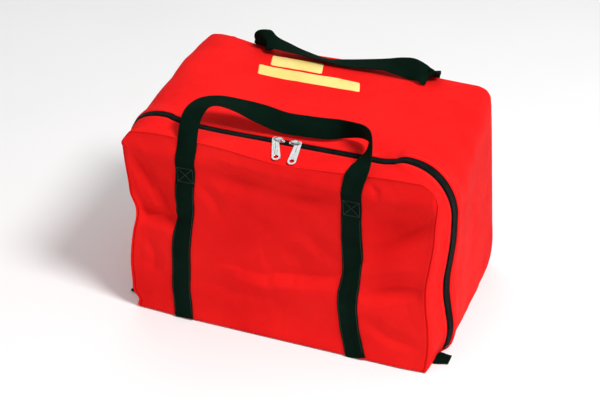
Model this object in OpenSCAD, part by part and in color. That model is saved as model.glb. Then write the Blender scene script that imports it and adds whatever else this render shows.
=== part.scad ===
// Zipped drop-front gear bag with two webbing carrying loops.
// The origin is at the middle of the base, the front is at -Y and +Z is up. Units are millimetres.

/* [Bag] */
// Depth, from the outside of the front panel to the outside of the back panel
bag_d = 406; // [396:2:420]
// Widest width, just behind the zipper
bag_w = 610; // [590:2:630]
// Height of the crown of the top
bag_h = 399; // [395:1:405]
// Thickness of the padded fabric
fabric_t = 2.4; // [1.8:0.2:2.8]
// How far the zipper line lies further back at the base than at the top
zip_lean = 28; // [20:1:34]

/* [Base] */
// Thickness of the base fabric
base_t = 1.6; // [1.2:0.1:1.8]
// Thickness of the loose board that keeps the base flat
board_t = 3; // [2:0.5:4]

/* [Webbing] */
// Width of the webbing
web_w = 38; // [34:1:40]
// Thickness of the webbing
web_t = 2.2; // [1.8:0.1:2.2]
// Side of the square box that is stitched at the top of a sewn strap
box_side = 30; // [24:1:32]

/* [Zipper] */
// Width of one half of the coil
coil_w = 3.7; // [3:0.1:4]
// Height of the coil
coil_h = 3.2; // [2.6:0.1:3.4]
// Thickness of the zipper tape
tape_t = 1; // [0.8:0.1:1.2]
// Width of one half of the tape
tape_w = 14; // [10:1:16]
// Width of a slider
slider_w = 15; // [14:0.5:16]
// Length of a pull tab from its pivot to the middle of its round end
tab_len = 45; // [34:1:46]
// Thickness of a pull tab
tab_t = 1.6; // [1.2:0.1:1.8]
// Radius of the round hole in a pull tab
tab_hole_r = 4.2; // [3.5:0.1:4.6]

/* [Hidden] */

red = [0.93, 0.12, 0.12];
black = [0.06, 0.10, 0.09];
silver = [0.82, 0.83, 0.84];
yellow = [0.98, 0.90, 0.50];

$fn = 48;

front_y = -bag_d / 2;
back_y = bag_d / 2;

// Heights of what lies under the walls
base_z = web_t;
wall_z = base_z + base_t;
hinge_z = 6.5;
hinge_y = front_y + fabric_t / 2;
seam_r = 1.8;
flap_z = hinge_z + seam_r + 0.6;

// Zipper line across the top
zip_y = -150;
zip_z0 = 11;
front_edge_y = -0.391 * bag_d;
rear_edge_y = -0.348 * bag_d;
coil_gap = 1.6;
coil_in = 1;
tape_top = -coil_in - coil_h / 2 - 0.05;

// Straps are sewn just outside the panels
strap_y = back_y + 0.2 + web_t / 2;
loop_y = strap_y + 0.3;
handle_z = 338;
strap_top_z = handle_z - 5;
thread_t = 0.5;

// Sliders
left_slider_x = -6;
right_slider_x = 26;
blade_low = 2.1;
blade_high = 3.5;
under_blade_low = -4.7;
flange_low = -1.2;
post_u = 6;
post_r = 1.1;
eye_r = 1.7;
crown_low = 6.4;
crown_high = 8.6;
tab_low = 4.2;
left_tab_angle = 23;
right_tab_angle = 6;

// Rings and facets of the wrap
SIDE_STEPS = 4;
ARC_STEPS = 7;
TOP_STEPS = 4;

// Outline of the bag at a distance y from its middle: half width, height, corner radius and lean
function half_w(y) = bag_w / 2 * lookup(y / bag_d, [
    [-0.5, 0.974], [-0.46, 0.984], [-0.41, 0.989], [-0.32, 0.996], [-0.22, 1],
    [0, 0.994], [0.25, 0.977], [0.46, 0.948], [0.5, 0.938]
]);
function top_z(y) = bag_h * lookup(y / bag_d, [
    [-0.5, 0.932], [-0.46, 0.942], [-0.41, 0.9545], [-0.32, 0.982], [-0.22, 0.99],
    [0, 1], [0.25, 0.9975], [0.46, 0.9875], [0.5, 0.982]
]);
function corner_r(y) = lookup(y / bag_d, [
    [-0.5, 22], [-0.46, 45], [-0.41, 82], [-0.32, 92], [-0.22, 85],
    [0, 75], [0.25, 62], [0.46, 48], [0.5, 42]
]);
function lean(y, z) = zip_lean * (1 - z / top_z(y))
    * lookup(y / bag_d, [[-0.49, 0], [-0.41, 1], [-0.32, 1], [0.46, 0]]);

// Slope of the top across the zipper
zip_tilt = atan((top_z(rear_edge_y) - top_z(front_edge_y)) / (rear_edge_y - front_edge_y));

// An arch in X and Z: up the left side, over the top and down the right side
function arch(y, off, z0) = let (
        w = half_w(y) + off,
        r = corner_r(y) + off,
        mid = top_z(y) + off - r,
        flat = w - r
    ) concat(
        [for (i = [0:SIDE_STEPS - 1]) [-w, z0 + (mid - z0) * i / SIDE_STEPS]],
        [for (i = [0:ARC_STEPS]) [-flat - r * cos(90 * i / ARC_STEPS), mid + r * sin(90 * i / ARC_STEPS)]],
        [for (i = [1:TOP_STEPS - 1]) [-flat + 2 * flat * i / TOP_STEPS, mid + r]],
        [for (i = [0:ARC_STEPS]) [flat + r * sin(90 * i / ARC_STEPS), mid + r * cos(90 * i / ARC_STEPS)]],
        [for (i = [SIDE_STEPS - 1:-1:0]) [w, z0 + (mid - z0) * i / SIDE_STEPS]]
    );
function arch_at(y, off, z0) = [for (p = arch(y, off, z0)) [p[0], y + lean(y, p[1]), p[1]]];

function quad(a, b, c, d) = [[a, b, c], [a, c, d]];

// A band of fabric that follows the arches at the places ys, between two offsets from the outside
module band(ys, outside, inside, z0) {
    m = len(ys);
    n = len(arch(ys[0], outside, z0));
    points = [for (y = ys) each concat(arch_at(y, outside, z0), arch_at(y, inside, z0))];
    out = [for (s = [0:m - 1]) s * 2 * n];
    inn = [for (s = [0:m - 1]) s * 2 * n + n];
    walls = [for (s = [0:m - 2], j = [0:n - 2]) each concat(
        quad(out[s] + j, out[s + 1] + j, out[s + 1] + j + 1, out[s] + j + 1),
        quad(inn[s] + j, inn[s] + j + 1, inn[s + 1] + j + 1, inn[s + 1] + j)
    )];
    ends = [for (j = [0:n - 2]) each concat(
        quad(out[0] + j, out[0] + j + 1, inn[0] + j + 1, inn[0] + j),
        quad(out[m - 1] + j, inn[m - 1] + j, inn[m - 1] + j + 1, out[m - 1] + j + 1)
    )];
    feet = [for (s = [0:m - 2]) each concat(
        quad(out[s], inn[s], inn[s + 1], out[s + 1]),
        quad(out[s] + n - 1, out[s + 1] + n - 1, inn[s + 1] + n - 1, inn[s] + n - 1)
    )];
    polyhedron(points, concat(walls, ends, feet), convexity = 6);
}

// A flat panel standing in the XZ plane, from y to y + t
module standing(y, t) {
    translate([0, y + t, 0])
        rotate([90, 0, 0])
            linear_extrude(t)
                children();
}

module panel(y, t, edge_y, z0) {
    standing(y, t)
        polygon(arch(edge_y, 0, z0));
}

// Outline of the base from y0 to y1, set in from the outside of the side walls
function base_outline(inset, y0, y1) = let (ys = [y0, -90, 0, 0.25 * bag_d, 0.46 * bag_d, y1])
    concat(
        [for (y = ys) [half_w(y) - inset, y]],
        [for (i = [len(ys) - 1:-1:0]) [inset - half_w(ys[i]), ys[i]]]
    );

// Sewn straps: middle of the strap in X and Z, from the base up
left_line = [[-178, flap_z], [-178, 65], [-176, 154], [-171, 261], [-166, 304], [-164, strap_top_z]];
right_line = [[167, flap_z], [159, 40], [152, 125], [152, 209], [154, 292], [152, strap_top_z]];
left_back_line = [[-178, base_z], [-180, 150], [-187, strap_top_z]];
right_back_line = [[167, base_z], [163, 150], [158, strap_top_z]];

module sewn_strap(line, y) {
    standing(y - web_t / 2, web_t)
        polygon(concat(
            [for (p = line) [p[0] - web_w / 2, p[1]]],
            [for (i = [len(line) - 1:-1:0]) [line[i][0] + web_w / 2, line[i][1]]]
        ));
}

// A square of thread lines with a cross in it, standing on a strap's face
module stitch_box(x, z, y) {
    line_w = 1;
    half = box_side / 2;
    translate([x, 0, z])
        standing(y, thread_t) {
            difference() {
                square(box_side, center = true);
                square(box_side - 2 * line_w, center = true);
            }
            for (a = [45, -45])
                rotate(a)
                    square([2 * half * sqrt(2) - 2 * line_w, line_w], center = true);
        }
}

// Webbing loops. Each row is the middle of the webbing and the direction of its width
front_route = [
    [[-164, -loop_y, handle_z + 2.5], [-1, 0, 0.03]], [[-161, -206, 362], [-1, 0, 0.03]],
    [[-159, -204, 386], [-1, 0, 0.03]], [[-158, -192, 408], [-1, 0.05, 0.10]],
    [[-155, -172, 425], [-0.96, 0.15, 0.25]], [[-144, -150, 433], [-0.75, 0.50, 0.42]],
    [[-120, -134, 433], [-0.45, 0.80, 0.40]], [[-88, -131, 429], [-0.30, 0.80, 0.50]],
    [[-45, -130, 421], [-0.20, 0.60, 0.77]], [[-5, -130, 414], [-0.19, 0.46, 0.87]],
    [[35, -129, 414], [-0.10, 0.44, 0.89]], [[75, -126, 415], [-0.02, 0.30, 0.95]],
    [[108, -122, 419], [0, -0.15, 0.98]], [[138, -128, 424], [0.10, -0.45, 0.88]],
    [[160, -148, 427], [0.25, -0.60, 0.76]], [[169, -172, 418], [0.50, -0.60, 0.65]],
    [[167, -193, 398], [0.85, -0.25, 0.40]], [[157, -206.2, 370], [1, -0.02, 0.12]],
    [[152, -loop_y, handle_z + 2.5], [1, 0, 0]]
];
rear_route = [
    [[-187, loop_y, handle_z + 2.5], [-1, 0, 0]], [[-187, 206, 366], [-1, 0, 0]],
    [[-187, 206.5, 392], [-0.98, 0, 0.20]], [[-177, 205.5, 409], [-0.60, 0, 0.80]],
    [[-154, 201, 414], [-0.10, 0.05, 1]], [[-122, 196, 411], [0.10, -0.45, 0.90]],
    [[-85, 190, 408], [0.20, -0.65, 0.75]], [[-45, 184, 407], [0.25, -0.75, 0.62]],
    [[0, 181, 410], [0.15, -0.65, 0.75]], [[45, 182, 414], [0.05, -0.35, 0.95]],
    [[86, 184, 416], [0.05, -0.10, 1]], [[112, 182, 416], [0.20, 0.25, 0.95]],
    [[133, 178, 415], [0.45, 0.60, 0.65]], [[148, 187, 413], [0.80, 0.50, 0.35]],
    [[155, 201, 404], [0.97, 0.10, 0.20]], [[157, 206.5, 384], [1, 0, 0]],
    [[158, 206.5, 362], [1, 0, 0]], [[158, loop_y, handle_z + 2.5], [1, 0, 0]]
];
ROUTE_STEPS = 4;

function unit(v) = v / norm(v);
function glide(a, b, c, d, t) = (2 * b + (c - a) * t + (2 * a - 5 * b + 4 * c - d) * t * t
    + (3 * b - a - 3 * c + d) * t * t * t) / 2;
function smooth_route(rows) = let (k = len(rows) - 1) concat(
    [for (i = [0:k - 1], s = [0:ROUTE_STEPS - 1]) let (
            a = rows[max(i - 1, 0)],
            b = rows[i],
            c = rows[i + 1],
            d = rows[min(i + 2, k)],
            t = s / ROUTE_STEPS
        ) [glide(a[0], b[0], c[0], d[0], t), glide(a[1], b[1], c[1], d[1], t)]],
    [rows[k]]
);

// A flat strap of webbing swept along a route
module webbing(rows) {
    path = smooth_route(rows);
    last = len(path) - 1;
    points = [for (i = [0:last]) let (
            along = unit(path[min(i + 1, last)][0] - path[max(i - 1, 0)][0]),
            across = unit(path[i][1] - (path[i][1] * along) * along),
            face = cross(along, across),
            w = across * web_w / 2,
            t = face * web_t / 2
        ) each [path[i][0] + w + t, path[i][0] - w + t, path[i][0] - w - t, path[i][0] + w - t]];
    sides = [for (i = [0:last - 1], k = [0:3]) each
        quad(4 * i + k, 4 * i + (k + 1) % 4, 4 * i + 4 + (k + 1) % 4, 4 * i + 4 + k)];
    caps = concat(quad(3, 2, 1, 0), quad(4 * last, 4 * last + 1, 4 * last + 2, 4 * last + 3));
    polyhedron(points, concat(sides, caps), convexity = 8);
}

// Puts a slider or a tab on the zipper line: u along X, v up the slope and n away from the bag
module on_zipper(x) {
    translate([x, zip_y, top_z(zip_y) - coil_in])
        rotate([zip_tilt, 0, 0])
            children();
}

// Plan of a slider: round at the tab end and narrow at the nose, which points along +u
module slider_plan() {
    hull() {
        translate([-3, 0])
            circle(r = slider_w / 2);
        translate([9, 0])
            circle(r = slider_w / 5);
    }
}

module slider_body(x, nose) {
    color(silver)
        on_zipper(x)
            mirror([nose < 0 ? 1 : 0, 0, 0]) {
                for (low = [blade_low, under_blade_low])
                    translate([0, 0, low])
                        linear_extrude(blade_high - blade_low)
                            slider_plan();
                translate([0, 0, under_blade_low + 0.4])
                    linear_extrude(blade_high - under_blade_low - 0.8)
                        polygon([[-4, 0], [0, 0.8], [4, 0], [0, -0.8]]);
                for (side = [1, -1])
                    translate([0, 0, flange_low])
                        linear_extrude(blade_low - flange_low + 0.4)
                            intersection() {
                                slider_plan();
                                translate([-9, side > 0 ? 6 : -slider_w / 2])
                                    square([10, slider_w / 2 - 6]);
                            }
            }
}

module slider_crown(x, nose) {
    color(silver)
        on_zipper(x)
            mirror([nose < 0 ? 1 : 0, 0, 0]) {
                for (u = [-post_u, post_u + 1])
                    translate([u, 0, blade_high])
                        cylinder(r = post_r, h = crown_low - blade_high + 0.4);
                translate([0.5, 0, crown_low])
                    intersection() {
                        linear_extrude(crown_high - crown_low)
                            intersection() {
                                translate([0, -13])
                                    circle(r = 17);
                                translate([0, 13])
                                    circle(r = 17);
                            }
                        translate([0, 0, crown_high - crown_low - 34])
                            rotate([90, 0, 0])
                                cylinder(r = 34, h = 20, center = true, $fn = 96);
                    }
            }
}

// The tab hangs down the slope from the post at its slider's outer end
module pull_tab(x, nose, angle) {
    color(silver)
        on_zipper(x - nose * post_u)
            rotate(angle)
                difference() {
                    translate([0, 0, tab_low])
                        linear_extrude(tab_t)
                            polygon(concat(
                                [for (a = [180:-15:0]) [6.2 * cos(a), 6.2 * sin(a)]],
                                [for (a = [0:-12:-180]) [8 * cos(a), -tab_len + 8 * sin(a)]]
                            ));
                    translate([0, 0, tab_low - 1])
                        cylinder(r = eye_r, h = tab_t + 2);
                    translate([0, -tab_len, tab_low - 1])
                        cylinder(r = tab_hole_r, h = tab_t + 2);
                }
}

// A small clip round both halves of the coil at its lower end
module end_stop(side) {
    z = zip_z0 - 5;
    y = zip_y + lean(zip_y, z);
    x = half_w(zip_y) - coil_in;
    color(black)
        translate([side * x - 2.2, y - 6, z])
            cube([4.4, 12, 4.4]);
}

// A folded piece of webbing under the end of the zipper
module end_tab(side) {
    reach = 46;
    tip = 320;
    color(black)
        translate([side > 0 ? tip - reach : -tip, zip_y - 22, 0.1])
            cube([reach, web_w, web_t - 0.2]);
}

// A flat bar on the top between two lines, slanted to the left towards the back
module top_bar(x0, x1, y0, y1) {
    slant = -14;
    bar_t = 0.4;
    gap = 0.35;
    steps = 2;
    ys = [for (i = [0:steps]) y0 + (y1 - y0) * i / steps];
    points = [for (i = [0:steps]) let (s = slant * i / steps, low = top_z(ys[i]) + gap) each [
        [x0 + s, ys[i], low],
        [x1 + s, ys[i], low],
        [x1 + s, ys[i], low + bar_t],
        [x0 + s, ys[i], low + bar_t]
    ]];
    sides = [for (i = [0:steps - 1], k = [0:3]) each
        quad(4 * i + k, 4 * i + 4 + k, 4 * i + 4 + (k + 1) % 4, 4 * i + (k + 1) % 4)];
    caps = concat(quad(0, 1, 2, 3), quad(4 * steps + 3, 4 * steps + 2, 4 * steps + 1, 4 * steps));
    polyhedron(points, concat(sides, caps));
}

module body_wrap() {
    color(red)
        band([rear_edge_y, -0.32 * bag_d, -0.22 * bag_d, 0, 0.25 * bag_d, 0.46 * bag_d, back_y - fabric_t],
            0, -fabric_t, wall_z);
}

module back_panel() {
    color(red)
        panel(back_y - fabric_t, fabric_t, back_y, wall_z);
}

module base_panel() {
    color(red)
        translate([0, 0, base_z])
            linear_extrude(base_t)
                polygon(base_outline(0, front_y, back_y));
}

module base_board() {
    color([0.15, 0.15, 0.16])
        translate([0, 0, wall_z + 0.6])
            linear_extrude(board_t)
                polygon(base_outline(22, front_y + 22, back_y - 12));
}

module base_binding() {
    color(black)
        translate([0, 0, wall_z + board_t + 1.6])
            linear_extrude(8)
                difference() {
                    polygon(base_outline(4.5, -98, back_y - 4.5));
                    polygon(base_outline(7.1, -110, back_y - 7.1));
                }
}

module back_binding() {
    color(black)
        band([back_y - 12, back_y - fabric_t - 0.4], -fabric_t - 0.6, -fabric_t - 3, 20);
}

module front_hinge_seam() {
    color(red)
        translate([0, hinge_y, hinge_z])
            rotate([0, 90, 0])
                cylinder(r = seam_r, h = 2 * half_w(front_y) - 44, center = true);
}

// Half of the tape, which lies under the edge of the fabric
module zipper_tape(y0, y1) {
    color(black)
        band([y0, y1], tape_top, tape_top - tape_t, zip_z0);
}

// Half of the coil, on top of the tape
module zipper_coil(side) {
    near = zip_y + side * coil_gap * cos(zip_tilt);
    far = zip_y + side * (coil_gap + coil_w) * cos(zip_tilt);
    color(black)
        band([min(near, far), max(near, far)], coil_h / 2 - coil_in, -coil_h / 2 - coil_in, zip_z0);
}

module zipper_tape_rear() {
    zipper_tape(zip_y + coil_gap, zip_y + coil_gap + tape_w);
}

module zipper_coil_rear() {
    zipper_coil(1);
}

module zipper_tape_front() {
    zipper_tape(zip_y - coil_gap - tape_w, zip_y - coil_gap);
}

module zipper_coil_front() {
    zipper_coil(-1);
}

module zipper_end_stop_left() {
    end_stop(-1);
}

module zipper_end_stop_right() {
    end_stop(1);
}

module zipper_end_tab_left() {
    end_tab(-1);
}

module zipper_end_tab_right() {
    end_tab(1);
}

module base_strap(x_front, x_back) {
    color(black)
        linear_extrude(web_t)
            polygon([
                [x_front - web_w / 2, front_y + 2], [x_front + web_w / 2, front_y + 2],
                [x_back + web_w / 2, strap_y + web_t / 2], [x_back - web_w / 2, strap_y + web_t / 2]
            ]);
}

module base_strap_left() {
    base_strap(left_line[0][0], left_back_line[0][0]);
}

module base_strap_right() {
    base_strap(right_line[0][0], right_back_line[0][0]);
}

module back_strap_left() {
    color(black)
        sewn_strap(left_back_line, strap_y);
}

module back_strap_right() {
    color(black)
        sewn_strap(right_back_line, strap_y);
}

module back_strap_stitching() {
    color(black)
        for (x = [-186, 159])
            stitch_box(x, strap_top_z - box_side / 2 - 3, strap_y + web_t / 2);
}

module top_print() {
    color(yellow) {
        top_bar(-134, -28, 114, 160);
        top_bar(-140, 66, 66, 106);
    }
}

module front_panel() {
    color(red)
        panel(front_y, fabric_t, front_y, flap_z);
}

module front_gusset() {
    color(red)
        band([front_y + fabric_t, -0.46 * bag_d, -0.41 * bag_d, front_edge_y], 0, -fabric_t, flap_z);
}

module front_binding() {
    color(black)
        band([front_y + fabric_t + 0.4, front_y + 12], -fabric_t - 0.6, -fabric_t - 3, 20);
}

module front_strap_left() {
    color(black)
        sewn_strap(left_line, -strap_y);
}

module front_strap_right() {
    color(black)
        sewn_strap(right_line, -strap_y);
}

module front_strap_stitching() {
    color(black)
        for (x = [-165, 152.5])
            stitch_box(x, strap_top_z - box_side / 2 - 3, -strap_y - web_t / 2 - thread_t);
}

module front_handle() {
    color(black)
        webbing(front_route);
}

module rear_handle() {
    color(black)
        webbing(rear_route);
}

module slider_body_left() {
    slider_body(left_slider_x, 1);
}

module slider_crown_left() {
    slider_crown(left_slider_x, 1);
}

module slider_body_right() {
    slider_body(right_slider_x, -1);
}

module slider_crown_right() {
    slider_crown(right_slider_x, -1);
}

module pull_tab_left() {
    pull_tab(left_slider_x, 1, left_tab_angle);
}

module pull_tab_right() {
    pull_tab(right_slider_x, -1, right_tab_angle);
}

body_wrap();
back_panel();
base_panel();
base_board();
base_binding();
back_binding();
front_hinge_seam();
zipper_tape_rear();
zipper_coil_rear();
zipper_end_stop_left();
zipper_end_stop_right();
zipper_end_tab_left();
zipper_end_tab_right();
base_strap_left();
base_strap_right();
back_strap_left();
back_strap_right();
back_strap_stitching();
top_print();
front_panel();
front_gusset();
front_binding();
zipper_tape_front();
zipper_coil_front();
front_strap_left();
front_strap_right();
front_strap_stitching();
front_handle();
rear_handle();
slider_body_left();
slider_crown_left();
slider_body_right();
slider_crown_right();
pull_tab_left();
pull_tab_right();
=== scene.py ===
import math

import bpy
import numpy as np
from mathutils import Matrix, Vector


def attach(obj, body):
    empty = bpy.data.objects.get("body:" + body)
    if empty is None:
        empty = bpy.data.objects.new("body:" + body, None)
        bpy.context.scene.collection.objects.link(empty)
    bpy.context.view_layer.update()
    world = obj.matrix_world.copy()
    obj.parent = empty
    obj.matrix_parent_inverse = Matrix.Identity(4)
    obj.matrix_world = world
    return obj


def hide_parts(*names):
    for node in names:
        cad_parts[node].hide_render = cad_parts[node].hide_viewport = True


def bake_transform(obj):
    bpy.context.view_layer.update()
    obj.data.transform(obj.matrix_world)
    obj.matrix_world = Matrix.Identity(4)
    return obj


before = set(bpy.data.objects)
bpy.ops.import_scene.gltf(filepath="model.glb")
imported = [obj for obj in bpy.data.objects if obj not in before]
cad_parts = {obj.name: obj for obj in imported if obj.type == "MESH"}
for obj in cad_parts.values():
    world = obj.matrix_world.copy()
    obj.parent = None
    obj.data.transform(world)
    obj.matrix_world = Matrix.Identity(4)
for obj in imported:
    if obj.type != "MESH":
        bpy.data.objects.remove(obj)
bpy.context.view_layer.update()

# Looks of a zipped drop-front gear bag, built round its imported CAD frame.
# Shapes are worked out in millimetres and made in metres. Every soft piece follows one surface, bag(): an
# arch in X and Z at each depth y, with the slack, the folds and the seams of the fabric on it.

MM = 0.001

# ---- sizes of the bag, as in the CAD part
BAG_D = 406
BAG_W = 610
BAG_H = 399
ZIP_LEAN = 28
FRONT_Y = -BAG_D / 2
BACK_Y = BAG_D / 2
ZIP_Y = -150
HANDLE_Z = 338
WEB_W = 38
WEB_T = 2.0
FABRIC_T = 1.8

# Outline against depth: share of half the width, share of the height, corner radius
HALF_WIDTH = [(-0.5, 0.974), (-0.46, 0.984), (-0.41, 0.989), (-0.32, 0.996), (-0.22, 1),
              (0, 0.994), (0.25, 0.977), (0.46, 0.948), (0.5, 0.938)]
HEIGHT = [(-0.5, 0.932), (-0.46, 0.942), (-0.41, 0.9545), (-0.32, 0.982), (-0.22, 0.99),
          (0, 1), (0.25, 0.9975), (0.46, 0.9875), (0.5, 0.982)]
CORNER_R = [(-0.5, 22), (-0.46, 45), (-0.41, 82), (-0.32, 92), (-0.22, 85),
            (0, 75), (0.25, 62), (0.46, 48), (0.5, 42)]
LEAN = [(-0.49, 0), (-0.41, 1), (-0.32, 1), (0.46, 0)]

# Heights of the lower edges, and the radius that the walls turn under with
WALL_FOOT = 2.0
LOWEST_Z = 0.3
FLAP_FOOT = 4.2
FOOT_R = 6

# Length along the arch up to the places 0 to 5: the ends and both ends of each rounded corner
ARCH_LENGTHS = [0, 296, 437, 865, 1006, 1302]

# Where the fabric stands proud of the plain outline, or lies inside it: depth y, then pairs of a place on the
# arch (0-1 left side, 1-2 left corner, 2-3 top, 3-4 right corner, 4-5 right side) and millimetres out
RAILS = [
    (-203, [(0, -14), (0.04, -20), (0.1, -9), (0.17, -8), (0.28, -7), (0.37, -10), (0.49, -17),
            (0.585, -25), (0.635, -25), (0.72, -15), (0.79, -13), (0.92, -8), (1.14, -4), (1.5, -3),
            (1.73, 0), (1.9, 5), (2.0, 9), (2.07, 13), (2.17, 13), (2.26, 11), (2.35, 8), (2.43, 3),
            (2.5, -1), (2.7, 4), (2.84, 10), (2.92, 13), (3.0, 14), (3.29, 12), (3.54, 11), (3.86, 10),
            (4.0, 11), (4.1, 9), (4.24, 8), (4.36, 3), (4.49, -2), (4.6, 0), (4.73, 6), (4.88, 8), (5, 4)]),
    (-150, [(0, -6), (0.17, -4), (0.37, -6), (0.62, -12), (0.75, -8), (0.9, -2), (1.1, 5), (1.3, 13),
            (1.46, 19), (1.6, 21), (1.75, 18), (1.88, 14), (1.98, 10), (2.03, 5), (2.07, 1), (2.12, 0),
            (2.5, 0), (2.87, 0), (2.955, 0), (2.985, 2.5), (3.04, 8), (3.23, 16), (3.42, 20), (3.7, 20),
            (4, 18), (4.15, 17), (4.31, 12), (4.45, 7), (4.55, 7), (4.68, 12), (4.82, 17), (4.92, 14),
            (5, 7)]),
    (-90, [(0, -3), (0.5, -5), (0.9, -3), (1.1, 2), (1.3, 10), (1.45, 14), (1.6, 14), (1.8, 10), (2.0, 7),
           (2.1, 3), (2.2, 1), (2.5, -1), (3, 3), (3.5, 12), (4, 15), (4.4, 13), (4.7, 13), (4.9, 10),
           (5, 6)]),
    (0, [(0, 0), (0.7, 0), (1, 4), (1.3, 15), (1.45, 18), (1.65, 15), (1.85, 9), (2.05, 3), (2.2, 0),
         (2.5, -2), (3, 0), (4, 5), (4.5, 7), (4.8, 10), (5, 9)]),
    (100, [(0, 0), (0.7, 2), (1, 9), (1.3, 23), (1.46, 26), (1.65, 21), (1.85, 13), (2.0, 8), (2.1, 3),
           (2.2, 0), (2.5, -1), (2.9, -2), (3.4, 0), (4, 1), (4.4, 7), (4.8, 11), (5, 11)]),
    (203, [(0, 0), (0.7, 6), (1.0, 19), (1.3, 32), (1.45, 32), (1.58, 24), (1.8, 13), (2.02, 7),
           (2.08, 2), (2.2, -1), (2.5, 0), (2.7, -2), (2.85, -5), (2.95, -7), (3.27, -5.5), (3.5, -2.5),
           (3.7, -1.5), (4, -2), (4.14, 2), (4.43, 9), (4.72, 16), (4.85, 19), (4.95, 17), (5, 13)]),
]

# How far the sides turn to the front beside the zipper, along the arch
ZIP_TURN = [(0, 0.25), (1, 0.2), (1.5, 0), (3.0, 0), (3.45, 0.3), (4, 0.5), (5, 0.5)]
ZIP_TURN_REACH = 26

# Sizes of the slack: broad and middle lumps, creases and fine lumps
BROAD, MIDDLE, CREASE, FINE = 130, 62, 74, 27
# The slack fades between these distances from the zipper and from the front and back seams, down to a share
ZIP_CALM, ZIP_SHARE = (9, 42), 0.15
SEAM_CALM, SEAM_SHARE = (2, 26), 0.25

# Creases of the front panel: a line in X and Z, the depth along it, and how far the fabric takes to come
# forward again on the left and on the right of the line's direction
FRONT_FOLDS = [
    ([(-52, 132), (-12, 129), (0, 136), (37, 139), (80, 147), (114, 155), (146, 180)], 15.0, 78, 24),
    ([(160, 190), (186, 214), (210, 236), (242, 266), (290, 310)], 19.0, 62, 26),
    ([(170, 122), (196, 142), (222, 156), (250, 165), (292, 176)], 14.0, 40, 26),
    ([(-192, 188), (-206, 225), (-219, 255), (-234, 288)], 12.0, 24, 32),
    ([(-176, 214), (-215, 209), (-250, 211), (-290, 222)], 12.0, 26, 20),
    ([(-238, 256), (-250, 300), (-272, 340)], 10.0, 22, 26),
    ([(-252, 160), (-238, 122), (-246, 84)], 4.5, 24, 18),
    ([(-130, 92), (-60, 80), (10, 88)], 3.5, 34, 24),
    ([(62, 240), (96, 208), (128, 194)], 5.0, 30, 24),
    ([(186, 78), (226, 58), (280, 50)], 5.0, 30, 18),
    ([(-142, 300), (-112, 270), (-100, 236)], 4.0, 26, 20),
    ([(-108, 350), (-62, 336), (-6, 334)], 4.5, 14, 26),
    ([(34, 332), (76, 320), (122, 330)], 4.0, 12, 22),
    ([(186, 368), (196, 356), (200, 340)], 3.0, 9, 10),
    ([(26, 200), (50, 168), (58, 136)], 3.0, 28, 22),
]
FOLD_SHARPNESS = 1.25
FOLD_END = 0.05
# Broad hollows of the front panel: middle in X and Z, half sizes and depth
FRONT_HOLLOWS = [((-62, 322), (58, 20), 11.0), ((64, 312), (44, 16), 7.0), ((232, 286), (44, 34), 8.0),
                 ((20, 220), (110, 70), 6.0), ((-250, 214), (38, 36), 8.0), ((236, 150), (50, 32), 6.0),
                 ((20, 60), (120, 30), 3.0)]
# How deep the front lies everywhere, and the most that its slack may stand proud
FRONT_DEPTH = 0.8
FRONT_PROUD = 2.2
# The front is flat at its sewn edges and at the ground, and slack beyond these distances
FRONT_EDGE_CALM = 30
FRONT_FOOT_CALM = 36

# The seam line of the front panel: its distance from the turned edge, half its width and its depth
SEAM_IN = 7.0
SEAM_HALF = 2.0
SEAM_DEEP = 3.4
# The roll of slack fabric under the top seam of the front panel: height, half size and how far it stands out
ROLL_Z = 345
ROLL_HALF = 24
ROLL_OUT = 6.0
# The lower edge of the front sags forward on the ground: how far, how high up, and the distances from the
# right and the left over which it fades
SAG = 3.0
SAG_H = 26
SAG_RIGHT = (4, 60)
SAG_LEFT = (30, 120)


# ---- small helpers for shapes
def through(x, rows):
    """A smooth curve through rows of (place, value), read at x."""
    xs, ys = np.array(rows, float).T
    slopes = np.gradient(ys, xs)
    x = np.clip(np.asarray(x, float), xs[0], xs[-1])
    i = np.clip(np.searchsorted(xs, x) - 1, 0, len(xs) - 2)
    h = xs[i + 1] - xs[i]
    t = (x - xs[i]) / h
    return (ys[i] * (1 + 2 * t) * (1 - t) ** 2 + slopes[i] * h * t * (1 - t) ** 2
            + ys[i + 1] * t * t * (3 - 2 * t) + slopes[i + 1] * h * t * t * (t - 1))


def ease(x, low, high):
    """0 below low, 1 above high, and a smooth step between."""
    t = np.clip((np.asarray(x, float) - low) / (high - low), 0, 1)
    return t * t * (3 - 2 * t)


def rounding(distance, radius):
    """How far a round edge has dropped, at a distance from the edge."""
    t = 1 - np.clip(np.asarray(distance, float) / radius, 0, 1)
    return radius * (1 - np.sqrt(np.maximum(0, 1 - t * t)))


def unit(v):
    return v / np.linalg.norm(v, axis=-1, keepdims=True)


def lumps(u, v, size, seed):
    """Smooth noise between -1 and 1 with lumps of a size."""
    lattice = np.random.RandomState(seed).uniform(-1, 1, (64, 64))
    u, v = np.asarray(u, float) / size + 100, np.asarray(v, float) / size + 100
    i, j = np.floor(u).astype(int), np.floor(v).astype(int)
    s, t = u - i, v - j
    s, t = s * s * (3 - 2 * s), t * t * (3 - 2 * t)

    def at(a, b):
        return lattice[a % 64, b % 64]

    return ((at(i, j) * (1 - s) + at(i + 1, j) * s) * (1 - t)
            + (at(i, j + 1) * (1 - s) + at(i + 1, j + 1) * s) * t)


def crumple(u, v, seed):
    """The slack of coated nylon: broad lumps with faint straight-sided creases in them."""
    broad = lumps(u, v, BROAD, seed) * 1.5 + lumps(u + 40, v, MIDDLE, seed + 1) * 0.8
    crease = 1 - np.abs(lumps(u + 0.5 * v, v - 0.4 * u, CREASE, seed + 2)) * 2
    fine = lumps(u, v, FINE, seed + 3) * 0.25
    return broad + fine + 0.7 * np.clip(crease, 0, 1) ** 3


# ---- the bag's surface
def half_width(y):
    return BAG_W / 2 * through(np.asarray(y) / BAG_D, HALF_WIDTH)


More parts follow.
